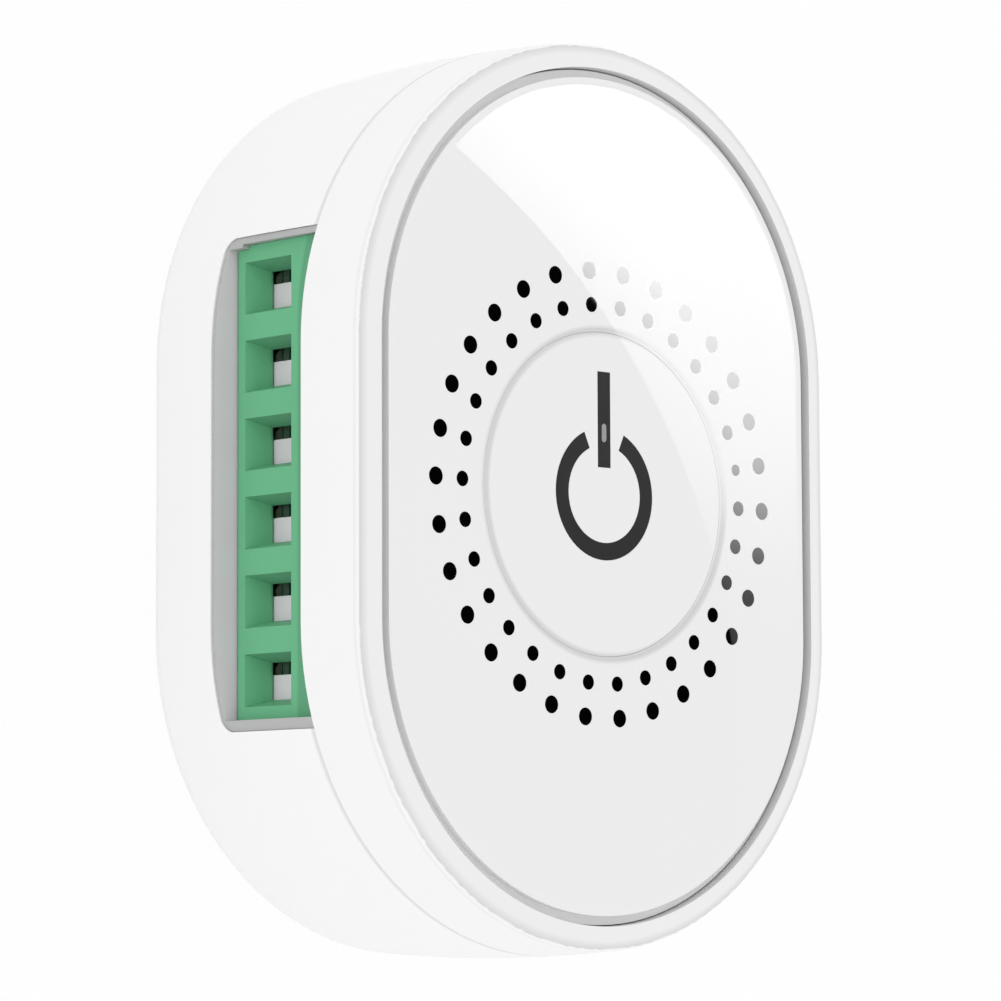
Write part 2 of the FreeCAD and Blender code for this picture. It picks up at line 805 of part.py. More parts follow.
def make_fuse_resistor():
    start, end = fuse_x_range
    height = board_rear - fuse_rise - fuse_radius
    body = Part.makeCylinder(fuse_radius, end - start, V(start, fuse_y, height), V(1, 0, 0))
    body = body.makeChamfer(case_chamfer, body.Edges)
    return body.fuse(leads(fuse_lead_spots, height)).removeSplitter()


def core_heights():
    high = board_rear - bobbin_foot
    return high - core_height, high


def make_transformer_core():
    """A closed ferrite frame with a middle leg through the winding."""
    x, y = coil_spot
    low, high = core_heights()
    y_range = around(y, core_depth / 2)
    frame = box(around(x, core_width / 2), y_range, (low, high))
    window_half = core_width / 2 - core_bar
    middle = (core_leg_half, window_half)
    windows = [box((x + a, x + b), y_range, (low + core_bar, high - core_bar))
               for a, b in (middle, (-middle[1], -middle[0]))]
    return frame.cut(windows)


def make_transformer_bobbin():
    """The coil former: two flanges, and feet with pins that stand on the board."""
    x, y = coil_spot
    low, high = core_heights()
    gap = ring_clearance
    inner_low, inner_high = low + core_bar + gap, high - core_bar - gap
    half = core_width / 2 - core_bar - gap
    tube_half = core_leg_half + gap + bobbin_flange
    flange_y = around(y, coil_half_depth)
    parts = [
        box(around(x, tube_half), around(y, core_depth / 2 + gap + bobbin_flange), (inner_low, inner_high)),
        box(around(x, half), flange_y, (inner_low, inner_low + bobbin_flange)),
        box(around(x, half), flange_y, (inner_high - bobbin_flange, inner_high)),
    ]
    for side in (-1, 1):
        foot_y = y + side * (coil_half_depth - bobbin_foot_half_depth)
        parts.append(box(around(x, core_width / 2 - lead_half), around(foot_y, bobbin_foot_half_depth),
                         (inner_high - bobbin_flange, board_rear)))
    leg_room = box(around(x, core_leg_half + gap), around(y, core_depth / 2 + gap), (low, high))
    return fused(parts).cut(leg_room).fuse(leads(coil_pin_spots())).removeSplitter()


def make_transformer_winding():
    x, y = coil_spot
    low, high = core_heights()
    gap = ring_clearance
    z_range = (low + core_bar + gap + bobbin_flange, high - core_bar - gap - bobbin_flange)
    half = core_width / 2 - core_bar - 2 * gap
    coil = box(around(x, half), around(y, core_depth / 2 + winding_reach), z_range)
    coil = coil.makeFillet(winding_round, along(coil, V(0, 0, 1)))
    tube_half = core_leg_half + gap + bobbin_flange
    hole = box(around(x, tube_half), around(y, core_depth / 2 + gap + bobbin_flange), z_range)
    return coil.cut(hole)


def make_chip(spot, length, width, height, leg_count=0):
    """A moulded chip on the board's rear face, with legs along two sides or pads below it."""
    x, y = spot
    low = board_rear - height
    body = box(around(x, length / 2), around(y, width / 2), (low, board_rear - chip_stand))
    body = body.makeChamfer(chip_chamfer, edges_at(body, low))
    if not leg_count:
        pad = box(around(x, length / 2 - 2 * chip_chamfer), around(y, width / 2 - 2 * chip_chamfer),
                  (board_rear - 2 * chip_stand, board_rear))
        return body.fuse(pad).removeSplitter()
    leg_z = (board_rear - chip_leg_thickness, board_rear)
    pitch = (length - 2 * chip_leg_inset) / (leg_count - 1)
    legs = [box(around(x - length / 2 + chip_leg_inset + k * pitch, chip_leg_half),
                around(y, width / 2 + chip_leg_reach), leg_z) for k in range(leg_count)]
    return body.fuse(legs).removeSplitter()


def make_radio_shield():
    low = board_rear - shield_height
    y_range = around(shield_y, shield_width / 2)
    can = box(shield_x_range, y_range, (low, board_rear))
    can = can.makeFillet(shield_round, along(can, V(0, 0, 1)))
    room_x = (shield_x_range[0] + shield_sheet, shield_x_range[1] - shield_sheet)
    room_y = around(shield_y, shield_width / 2 - shield_sheet)
    room = box(room_x, room_y, (low + shield_sheet, board_rear))
    return can.cut(room)


def make_radio_chip():
    length = shield_x_range[1] - shield_x_range[0] - 2 * radio_chip_margin
    return make_chip((sum(shield_x_range) / 2, shield_y), length, radio_chip_width, radio_chip_height)


def make_converter_chip():
    low, high = converter_x_range
    spot = ((low + high) / 2, converter_y)
    return make_chip(spot, high - low, converter_width, converter_height, converter_legs)


def make_bridge_rectifier():
    spot = (board_half_width - rectifier_edge_gap, rectifier_y)
    return make_chip(spot, rectifier_length, rectifier_width, rectifier_height, rectifier_legs)


def make_chip_antenna():
    spot = (0.0, antenna_end_gap - straight_half - board_half_width)
    return make_chip(spot, antenna_length, antenna_width, antenna_height)


def make_driver_chips():
    y = -relay_length / 2 - driver_relay_gap - driver_width / 2
    chips = [make_chip((x, y), driver_length, driver_width, driver_height) for x in relay_x_places[1:]]
    return Part.makeCompound(chips)


# Terminal block

def funnel(y):
    """A wire entry: a square funnel that narrows into the chamber behind it."""
    def rim(x, shrink):
        y_low, y_high = around(y, port_height / 2 - shrink)
        z_low, z_high = around(port_centre_z, port_width / 2 - shrink)
        corners = [V(x, y_low, z_low), V(x, y_high, z_low), V(x, y_high, z_high), V(x, y_low, z_high)]
        return Part.makePolygon(corners + corners[:1])

    throat = block_face + funnel_depth
    mouth = Part.makeLoft([rim(block_face, 0), rim(throat, funnel_taper)], True, True)
    through = box((throat, block_face + chamber_front + block_edge_round),
                  around(y, port_height / 2 - funnel_taper),
                  around(port_centre_z, port_width / 2 - funnel_taper))
    return [mouth, through]


def make_terminal_block():
    ridge_y = (block_high_y - overrun, block_high_y + ridge_height)
    block = fused([
        box((block_face, lip_x), (block_low_y, block_high_y), (block_nose_low, lip_top)),
        box((lip_x, block_back_x), (block_low_y, block_high_y), (block_nose_low, board_rear)),
        box((block_face, lip_x), ridge_y, (ridge_low, lip_top)),
        box((lip_x, block_back_x - overrun), ridge_y, (ridge_low, board_rear)),
    ])
    low_edges = [e for e in edges_at(block, block_nose_low) if e.BoundBox.XMin < block_back_x - same_place]
    block = block.makeFillet(block_edge_round, low_edges)
    tower = box((block_face + block_tower_back, block_back_x),
                (block_low_y, block_high_y), (tower_low, block_nose_low + root))
    block = block.fuse(tower).removeSplitter()
    leg_room_x = (leg_x - leg_clearance, leg_x + leg_thickness + leg_clearance)
    cuts = []
    for y in ports:
        cuts += funnel(y)
        cuts.append(box((block_face + chamber_front, block_face + chamber_back),
                        around(y, chamber_half_height), (ledge_high, chamber_top)))
        cuts.append(cylinder(screw_radius + 2 * screw_clearance, (ledge_low - root, ledge_high + root),
                             screw_x, y))
        cuts.append(cylinder(screw_head_radius + 2 * screw_clearance, (tower_low - overrun, ledge_low),
                             screw_x, y))
        cuts.append(box(leg_room_x, around(y, leg_half_width + leg_clearance),
                        (chamber_top - root, board_rear + overrun)))
    return block.cut(cuts).removeSplitter()


def make_terminal_screw(y):
    head = cylinder(screw_head_radius, (screw_head_low, screw_head_high), screw_x, y)
    head = head.makeChamfer(screw_head_edge, edges_at(head, screw_head_low))
    shank = cylinder(screw_radius, (screw_head_high - root, screw_tip), screw_x, y)
    shank = shank.makeChamfer(screw_tip_chamfer, edges_at(shank, screw_tip))
    depth_range = (screw_head_low - overrun, screw_head_low + screw_slot_depth)
    short_half = screw_head_radius * screw_slot_share
    slots = [box(around(screw_x, screw_head_radius + overrun), around(y, screw_slot / 2), depth_range),
             box(around(screw_x, screw_slot / 2), around(y, short_half), depth_range)]
    return head.fuse(shank).cut(slots).removeSplitter()


def make_clamp_cage(y):
    """The steel loop that the screw draws up to the contact bar, with the guard that shuts the port."""
    x_range = around(screw_x, cage_length / 2)
    side_range = (cage_low_z, low_limb_z + cage_low_limb)
    outer = box(x_range, around(y, cage_half_height), side_range)
    outer = outer.makeFillet(cage_side_wall, along(outer, V(1, 0, 0)))
    hollow = box(x_range, around(y, cage_half_height - cage_side_wall),
                 (cage_low_z + cage_top_limb, low_limb_z))
    loop = outer.cut(hollow)
    guard_y = (y - cage_half_height, y + guard_top_y)
    guard = box((guard_x, guard_x + guard_sheet), guard_y, (low_limb_z, guard_end))
    bridge = box((guard_x, x_range[0] + root), guard_y, (low_limb_z, low_limb_z + cage_low_limb))
    bore_z = (cage_low_z - overrun, cage_low_z + cage_top_limb + root)
    bore = cylinder(screw_radius + screw_clearance, bore_z, screw_x, y)
    return loop.fuse([guard, bridge]).cut(bore).removeSplitter()


def make_contact(y):
    """The fixed contact: a bar through the cage's loop and a leg down to the board."""
    bar = box((bar_front_x, leg_x + leg_thickness), around(y, bar_half_width), (bar_low, bar_high))
    leg = box((leg_x, leg_x + leg_thickness), around(y, leg_half_width), (bar_low, board_front + pin_reach))
    contact = bar.fuse(leg).removeSplitter()
    nose = [e for e in along(contact, V(0, 0, 1)) if abs(e.BoundBox.XMin - bar_front_x) < same_place]
    return contact.makeChamfer(bar_chamfer, nose)


def main():
    os.makedirs("parts", exist_ok=True)
    save("rear_shell", make_rear_shell())
    save("front_cover", make_front_cover())
    save("terminal_surround", make_terminal_surround())
    save("front_panel", make_front_panel())
    save("dot_ring", make_dot_ring())
    save("panel_tape", make_panel_tape())
    save("button_cap", make_button_cap())
    save("button_symbol", make_button_symbol())
    save("led_window", make_led_window())
    save("tact_switch", make_tact_switch())
    save("tact_plunger", make_tact_plunger())
    save("tact_dome", make_tact_dome())
    save("indicator_led", box(around(0, lamp_length / 2), around(window_y, lamp_width / 2),
                              (board_front, board_front + lamp_height)))
    save("main_board", make_main_board())
    for k, x in enumerate(relay_x_places):
        save("relay_%d" % (k + 1), make_relay(x))
    save("film_capacitor", make_film_capacitor())
    save("bulk_capacitor", make_can(bulk_spot, bulk_radius, bulk_floor_gap))
    save("output_capacitor", make_can(output_spot, output_radius, output_floor_gap))
    save("varistor", make_varistor())
    save("fuse_resistor", make_fuse_resistor())
    save("transformer_core", make_transformer_core())
    save("transformer_bobbin", make_transformer_bobbin())
    save("transformer_winding", make_transformer_winding())
    save("bridge_rectifier", make_bridge_rectifier())
    save("converter_chip", make_converter_chip())
    save("radio_shield", make_radio_shield())
    save("radio_chip", make_radio_chip())
    save("chip_antenna", make_chip_antenna())
    save("driver_chips", make_driver_chips())
    save("terminal_block", make_terminal_block())
    save("terminal_contacts", Part.makeCompound([make_contact(y) for y in ports]))
    for k, y in enumerate(ports):
        save("terminal_screw_%d" % (k + 1), make_terminal_screw(y))
        save("clamp_cage_%d" % (k + 1), make_clamp_cage(y))


main()
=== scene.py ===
import json
import math

import bpy
from mathutils import Matrix, Vector


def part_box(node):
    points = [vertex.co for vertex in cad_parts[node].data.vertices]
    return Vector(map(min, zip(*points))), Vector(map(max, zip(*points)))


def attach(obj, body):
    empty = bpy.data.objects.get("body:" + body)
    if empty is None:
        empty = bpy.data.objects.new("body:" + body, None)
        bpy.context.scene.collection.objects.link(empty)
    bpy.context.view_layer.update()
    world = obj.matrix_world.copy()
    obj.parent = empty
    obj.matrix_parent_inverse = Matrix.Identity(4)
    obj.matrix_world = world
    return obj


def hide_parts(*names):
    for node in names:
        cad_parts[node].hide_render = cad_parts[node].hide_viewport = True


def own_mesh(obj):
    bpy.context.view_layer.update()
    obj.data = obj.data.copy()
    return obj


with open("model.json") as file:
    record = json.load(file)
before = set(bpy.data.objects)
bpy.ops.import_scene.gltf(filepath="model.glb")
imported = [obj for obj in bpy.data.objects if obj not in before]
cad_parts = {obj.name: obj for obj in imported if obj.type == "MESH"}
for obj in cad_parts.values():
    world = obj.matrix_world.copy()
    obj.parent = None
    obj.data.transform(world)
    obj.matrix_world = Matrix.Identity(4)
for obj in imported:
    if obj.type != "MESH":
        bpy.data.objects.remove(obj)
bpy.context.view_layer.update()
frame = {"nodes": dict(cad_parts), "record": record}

MM = 0.001

# Places read from the frame
COVER_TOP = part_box("front_cover")[1].z
PANEL_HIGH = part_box("front_panel")[1]
PANEL_TOP = PANEL_HIGH.z
DOT_RING_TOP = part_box("dot_ring")[1].z
BOARD_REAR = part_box("main_board")[0].z
BLOCK_LOW, BLOCK_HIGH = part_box("terminal_block")
DOME_LOW, DOME_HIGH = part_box("tact_dome")

# Places known from the part's own sizes
STRAIGHT_HALF = 8.7 * MM     # half of the straight part of each side
COVER_HEIGHT = 5.6 * MM      # from the rim down to where the cover meets the rear shell
FLANGE_REACH = 0.57 * MM     # the panel's flange reaches this far beyond the edge of its top
RIM_REACH = 1.55 * MM        # the rim's outer edge is this far beyond the panel's flange
DOT_COUNT = 30
DOT_TURN = -1.1              # degrees
OUTER_DOTS = (14.43 * MM, 0.66 * MM, 0.57 * MM)     # the radius of the ring, of its holes and of the black in them
INNER_DOTS = (12.22 * MM, 0.55 * MM, 0.49 * MM)
SMALL_DOT = 1                # this hole of the inner ring is smaller
SMALL_DOT_RADII = (0.4 * MM, 0.38 * MM)
PLATE_BACK = 2.55 * MM       # behind the block's face the ports' plates end and the painted shade of the chambers begins
FUNNEL_BACK = 1.85 * MM      # behind the block's face the funnels end, and painted shade darkens the chambers beyond
BUTTON_RADIUS = 10.45 * MM
BUTTON_RING = 12.0 * MM      # inside this radius the panel's low faces belong to the button's ring

PARTING = COVER_TOP - COVER_HEIGHT
PANEL_EDGE = PANEL_HIGH.x - FLANGE_REACH
RIM_EDGE = PANEL_HIGH.x + RIM_REACH

# The scene's own pieces
FLUSH_GAP = 0.01 * MM        # what fills a hole or step of the panel ends this far below its face
LIP_INNER = BUTTON_RADIUS + 0.01 * MM
LIP_OUTER = BUTTON_RADIUS + 0.245 * MM
LIP_DEPTH = 0.098 * MM
DOME_SHEET = 0.1 * MM

# Shades painted on the outside
JOINT_LINE = (PARTING - 0.28 * MM, PARTING - 0.19 * MM)         # the painted dark line of shade in the joint starts here and is full there
COVER_LINE = (COVER_TOP - 1.0 * MM, COVER_TOP - 0.5 * MM)       # the fine line of painted shade below the rim lies between these
RIM_SHADE_REACH = (RIM_EDGE - 0.55 * MM, RIM_EDGE)                     # painted shade darkens the rim over this reach
PANEL_GLOSS = 0.066
PANEL_SUNK = PANEL_TOP - 0.03 * MM                              # below this height the panel is matt
PANEL_MATT = (PANEL_EDGE - 0.5 * MM, PANEL_EDGE - 0.4 * MM)     # over this reach its top turns matt too
BAND_RADIUS = BUTTON_RADIUS + 0.10 * MM     # the soft band of painted shade round the button
BAND_SHIFT = 0.27 * MM                      # its centre lies this far along X
BAND_CORE = 0.12 * MM
BAND_HALF = 0.42 * MM
BAND_DEPTHS = (0.22, 0.05)                  # how much the painted shade darkens, and how much at the upper right
BAND_FADE = (7.0 * MM, 9.5 * MM)            # from the one to the other, measured along this way
BAND_FADE_WAY = (0.77, 0.64)
BLOCK_REAR_LINE = 7.05 * MM      # where the block's face meets the liner behind it and the cover before it; lines of painted shade lie there
BLOCK_FRONT_LINE = 13.43 * MM
BLOCK_CURVE_START = 10 * MM      # from here up the cover's edge curves away from that line
BLOCK_CURVE = 0.03 / MM

# Camera, fitted to the photograph
CAMERA_PLACE = Vector((-193.34, -26.51, 223.38)) * MM
CAMERA_RIGHT = Vector((0.73975, -0.00396, 0.67287))
CAMERA_DOWN = Vector((0.05960, -0.99567, -0.07139))
CAMERA_FORWARD = Vector((0.67024, 0.09292, -0.73630))
SENSOR_WIDTH = 36.0
LENS = 157.5

# Light
HORIZON_LIGHT = 1.62
ZENITH_LIGHT = 0.66
BACKDROP_WHITE = 1.0
FLOOR_SIZE = 6.0
FLOOR_COLOUR = (0.86, 0.86, 0.86)
FLOOR_SHADE_SHARE = 0.04
FLOOR_DROP = 0.05 * MM       # the floor and the back face don't lie in one plane

# The lit card that the gloss of the front panel shows, seen by reflections only
CARD_DISTANCE = 0.65         # from the camera's mirror image in the panel
CARD_BITE_RADIUS = 0.12157
CARD_BITE_CENTRE = (-0.0858, 0.03963)
CARD_EDGE_FADE = 0.009       # the card is dimmer this near to the round bite
CARD_EDGE_SHARE = 0.70
CARD_SPAN = ((-0.045, 0.062), (-0.075, 0.075))
CARD_STRENGTH = 22.0
CARD_FADE = [(0.0, 1.0), (0.17, 1.0), (0.272, 0.84), (0.331, 0.74), (0.39, 0.63), (0.44, 0.52), (0.49, 0.36),
             (0.53, 0.234), (0.57, 0.108), (0.60, 0.07), (0.66, 0.05), (1.0, 0.05)]

# Colours and grain
WHITE = (0.90, 0.90, 0.90)
GREEN = (0.142, 0.46, 0.247)
# painted shade: the recess round the panel is painted this grey
RECESS_SHADE_GREY = (0.60, 0.60, 0.60)
TIN = (0.62, 0.62, 0.60)
CLOUD_SCALE = 90.0
GRAIN_DEPTH = 0.01 * MM


# Material helpers

class Maker:
    """A new node material: wires nodes by short calls."""

    def __init__(self, name):
        self.material = bpy.data.materials.new(name)
        self.material.use_nodes = True
        self.tree = self.material.node_tree
        self.shader = self.tree.nodes["Principled BSDF"]
        self.output = self.tree.nodes["Material Output"]
        coordinates = self.add("ShaderNodeTexCoord")
        self.place = coordinates.outputs["Object"]
        self.facing = coordinates.outputs["Normal"]

    def add(self, kind, **values):
        node = self.tree.nodes.new(kind)
        for key, value in values.items():
            setattr(node, key, value)
        return node

    def link(self, source, target):
        self.tree.links.new(source, target)

    def fill(self, socket, value):
        if isinstance(value, bpy.types.NodeSocket):
            self.link(value, socket)
        else:
            socket.default_value = value

    def noise(self, scale, detail=3.0, stretch=(1, 1, 1)):
        node = self.add("ShaderNodeTexNoise")
        node.inputs["Scale"].default_value = scale
        node.inputs["Detail"].default_value = detail
        if stretch != (1, 1, 1):
            mapping = self.add("ShaderNodeMapping")
            mapping.inputs["Scale"].default_value = stretch
            self.link(self.place, mapping.inputs["Vector"])
            self.link(mapping.outputs["Vector"], node.inputs["Vector"])
        else:
            self.link(self.place, node.inputs["Vector"])
        return node.outputs["Fac"]

    def math(self, operation, a, b=0.0):
        node = self.add("ShaderNodeMath", operation=operation)
        self.fill(node.inputs[0], a)
        self.fill(node.inputs[1], b)
        return node.outputs[0]

    def product(self, first, *others):
        for other in others:
            first = self.math("MULTIPLY", first, other)
        return first

    def length(self, across, along):
        return self.math("SQRT", self.math("ADD", self.product(across, across), self.product(along, along)))

    def spread(self, value, low, high, from_low=0.3, from_high=0.7):
        """From low to high while the value goes from from_low to from_high, and level beyond them."""
        node = self.add("ShaderNodeMapRange")
        self.link(value, node.inputs["Value"])
        node.inputs["From Min"].default_value = from_low
        node.inputs["From Max"].default_value = from_high
        node.inputs["To Min"].default_value = low
        node.inputs["To Max"].default_value = high
        return node.outputs["Result"]

    def ramp(self, value, stops):
        """A ramp through stops, each a position and a colour or grey."""
        node = self.add("ShaderNodeValToRGB")
        elements = node.color_ramp.elements
        while len(elements) < len(stops):
            elements.new(0.5)
        for element, (position, colour) in zip(elements, stops):
            element.position = position
            element.color = (*colour, 1) if isinstance(colour, tuple) else (colour, colour, colour, 1)
        self.link(value, node.inputs["Fac"])
        return node.outputs["Color"]

    def mix(self, share, a, b, blend="MIX"):
        node = self.add("ShaderNodeMix", data_type="RGBA", blend_type=blend)
        self.fill(node.inputs[0], share)
        for socket, value in ((node.inputs[6], a), (node.inputs[7], b)):
            if isinstance(value, tuple):
                value = (*value, 1)
            self.fill(socket, value)
        return node.outputs[2]

    def bump(self, height, strength, distance):
        node = self.add("ShaderNodeBump")
        node.inputs["Strength"].default_value = strength
        node.inputs["Distance"].default_value = distance
        self.link(height, node.inputs["Height"])
        self.link(node.outputs["Normal"], self.shader.inputs["Normal"])

    def set(self, **values):
        for name, value in values.items():
            socket = self.shader.inputs[name.replace("_", " ")]
            if isinstance(value, tuple):
                value = (*value, 1)
            self.fill(socket, value)

    def axis(self, index, of=None):
        node = self.add("ShaderNodeSeparateXYZ")
        self.link(of or self.place, node.inputs[0])
        return node.outputs[index]

    def reach(self, straight=0.0, shift=0.0):
        """How far a point is, level, from the Z axis moved along X and drawn out along Y to both sides."""
        beyond = self.math("SUBTRACT", self.math("ABSOLUTE", self.axis(1)), straight)
        along = self.math("MAXIMUM", beyond, 0.0)
        return self.length(self.math("SUBTRACT", self.axis(0), shift), along)

    def below(self, value, limit):
        return self.math("LESS_THAN", value, limit)

    def above(self, value, limit):
        return self.math("GREATER_THAN", value, limit)

    def only(self, mask, value):
        """The value where the mask is 1, and 1 where it is 0."""
        return self.math("ADD", self.product(self.math("SUBTRACT", value, 1.0), mask), 1.0)

    def shade(self, colour, factor):
        """A colour times a grey factor that a socket gives."""
        return self.mix(1.0, colour, factor, "MULTIPLY")

    def colour_so_far(self):
        return self.shader.inputs["Base Color"].links[0].from_socket


def scaled(colour, factor):
    return tuple(channel * factor for channel in colour)


def moulded(name, colour, roughness, grain=0.06, gloss=0.5, grain_scale=2500.0, colour_drift=0.015):
    """Moulded plastic: a fine grain, faint cloudiness and uneven sheen."""
    m = Maker(name)
    cloud = m.noise(CLOUD_SCALE)
    m.set(Base_Color=m.mix(cloud, scaled(colour, 1 - colour_drift), scaled(colour, 1 + colour_drift)),
          Roughness=m.spread(m.noise(400.0), roughness * 0.92, roughness * 1.08))
    m.shader.inputs["Specular IOR Level"].default_value = gloss
    m.bump(m.noise(grain_scale, 2.0), grain, GRAIN_DEPTH)
    return m


def metal(name, colour, roughness, stretch=(1, 1, 1), scale=1500.0):
    m = Maker(name)
    streaks = m.noise(scale, 4.0, stretch)
    m.set(Base_Color=m.mix(streaks, scaled(colour, 0.9), colour), Metallic=1.0,
          Roughness=m.spread(streaks, roughness * 0.8, roughness * 1.25))
    m.bump(streaks, 0.1, GRAIN_DEPTH)
    return m


def with_leads(m):
    """In front of the board's rear face the solid is tinned leads, and the board covers the change."""
    mask = m.above(m.axis(2), BOARD_REAR)
    tin = m.add("ShaderNodeBsdfPrincipled")
    tin.inputs["Base Color"].default_value = (*TIN, 1)
    tin.inputs["Metallic"].default_value = 1.0
    tin.inputs["Roughness"].default_value = 0.3
    blend = m.add("ShaderNodeMixShader")
    m.link(mask, blend.inputs[0])
    m.link(m.shader.outputs[0], blend.inputs[1])
    m.link(tin.outputs[0], blend.inputs[2])
    m.link(blend.outputs[0], m.output.inputs["Surface"])
    return m


# Materials of the outside

def moulded_white(name, facing_shades):
    """The housing's plastic, with shade painted by the way a face looks: the tones run from back through sideways
    to front.
    """
    m = moulded(name, WHITE, 0.42, grain=0.05, gloss=0.15, colour_drift=0.004)
    cloud = m.mix(m.noise(CLOUD_SCALE), scaled(WHITE, 0.996), scaled(WHITE, 1.004))
    turn = m.spread(m.axis(2, m.facing), 0.0, 1.0, -1.0, 1.0)
    m.set(Base_Color=m.shade(cloud, m.ramp(turn, facing_shades)))
    return m


def housing_white():
    """The rear shell, with a soft line of painted shade where it meets the cover."""
    # painted shade: faces turned between sideways and front are darker
    m = moulded_white("housing_white", [(0.0, 1.012), (0.60, 1.012), (0.70, 0.94), (0.93, 0.94), (0.97, 1.012)])
    # painted shade along the joint with the cover
    joint_shade = m.spread(m.axis(2), 1.0, 0.89, *JOINT_LINE)
    m.set(Base_Color=m.shade(m.colour_so_far(), joint_shade))
    return m


def cover_white():
    """The front cover, with painted shade: fine dark lines at both ends of its round edge, a rim that darkens
    outwards and a recess painted grey.
    """
    # painted shade: faces turned back are darker, and a dark line lies on the round edge just before the rim
    m = moulded_white("cover_white", [(0.0, 0.93), (0.30, 0.93), (0.40, 1.0), (0.54, 1.0), (0.60, 1.01),
                                      (0.87, 1.01), (0.92, 0.76), (0.965, 0.76), (0.972, 0.955), (1.0, 0.96)])
    reach = m.reach(STRAIGHT_HALF)
    in_recess = m.below(reach, PANEL_HIGH.x + 0.1 * MM)
    on_rim = m.above(m.axis(2, m.facing), 0.93)
    edge_shade = m.spread(reach, 1.0, 0.80, *RIM_SHADE_REACH)
    # painted shade: a fine line below the rim, and a rim that darkens outwards
    line = m.ramp(m.spread(m.axis(2), 0.0, 1.0, *COVER_LINE),
                  [(0.0, 1.0), (0.2, 1.0), (0.4, 0.945), (0.75, 0.945), (0.95, 1.0)])
    edge_shade = m.mix(on_rim, line, edge_shade)
    # painted shade: the recess takes the grey
    m.set(Base_Color=m.mix(in_recess, m.shade(m.colour_so_far(), edge_shade), RECESS_SHADE_GREY))
    return m


def panel_white():
    """Polished plastic whose gloss shows the lit card. Its edge and the faces below its top are matt. Painted
    shade darkens a soft band round the button, less at the upper right, and the groove's low faces along the long
    sides.
    """
    m = Maker("panel_white")
    top = m.mix(m.noise(60.0), (0.861, 0.861, 0.861), (0.870, 0.870, 0.870))
    # painted shade: a soft band round the button, weaker at the upper right
    from_band = m.math("ABSOLUTE", m.math("SUBTRACT", m.reach(shift=BAND_SHIFT), BAND_RADIUS))
    band = m.spread(from_band, 1.0, 0.0, BAND_CORE, BAND_HALF)
    right, up = BAND_FADE_WAY
    up_right = m.math("ADD", m.product(m.axis(0), right), m.product(m.axis(1), up))
    band = m.math("SUBTRACT", 1.0, m.product(band, m.spread(up_right, *BAND_DEPTHS, *BAND_FADE)))
    top = m.shade(top, band)
    along = m.math("ABSOLUTE", m.axis(1))
    # painted shade on the groove's low faces, darker along the long sides than at the ends
    groove_shade = m.shade((1.0, 1.0, 1.0), m.spread(along, 0.80, 0.92, STRAIGHT_HALF, 2 * STRAIGHT_HALF))
    low = m.mix(m.below(m.reach(), BUTTON_RING), groove_shade, m.shade((0.88, 0.88, 0.882), band))
    sunk = m.below(m.axis(2), PANEL_SUNK)
    edge = m.spread(m.reach(STRAIGHT_HALF), 0.0, 1.0, *PANEL_MATT)
    matt = m.math("MAXIMUM", sunk, edge)
    polish = m.spread(m.noise(300.0), 0.008, 0.016)
    m.set(Base_Color=m.mix(sunk, top, low), Specular_IOR_Level=m.spread(matt, PANEL_GLOSS, 0.0, 0.0, 1.0),
          Roughness=m.math("MAXIMUM", polish, m.product(matt, 0.7)))
    m.bump(m.noise(500.0, 1.0), 0.01, 0.000002)
    return m


def liner_grey():
    """Grey liner, a grey that stands in for the shade in the opening round the block. The long wall that looks
    forward is painted paler, as painted light, so the whole band reads as one grey.
    """
    m = moulded("liner_grey", (0.50, 0.50, 0.505), 0.6, gloss=0.1)
    # painted light: the long wall that looks forward gets a paler grey than the rest
    long_wall = m.below(m.math("ABSOLUTE", m.axis(1)), BLOCK_HIGH.y - 0.2 * MM)
    forward = m.product(m.above(m.axis(2, m.facing), 0.6), long_wall)
    cloud = m.noise(CLOUD_SCALE)
    pale = m.mix(cloud, (0.84, 0.75, 0.81), (0.86, 0.77, 0.83))
    flush = m.mix(cloud, (0.45, 0.455, 0.452), (0.47, 0.475, 0.472))
    m.set(Base_Color=m.mix(forward, flush, pale))
    return m


def dot_black():
    m = Maker("dot_black")
    m.set(Base_Color=m.mix(m.noise(300.0), (0.0005, 0.0005, 0.0005), (0.0015, 0.0015, 0.0015)),
          Roughness=m.spread(m.noise(600.0), 0.008, 0.016))
    return m


def symbol_grey():
    return moulded("symbol_grey", (0.0105, 0.0105, 0.011), 0.4, gloss=0.1)


def light_pipe():
    return moulded("light_pipe", (0.215, 0.215, 0.22), 0.25, gloss=0.3)


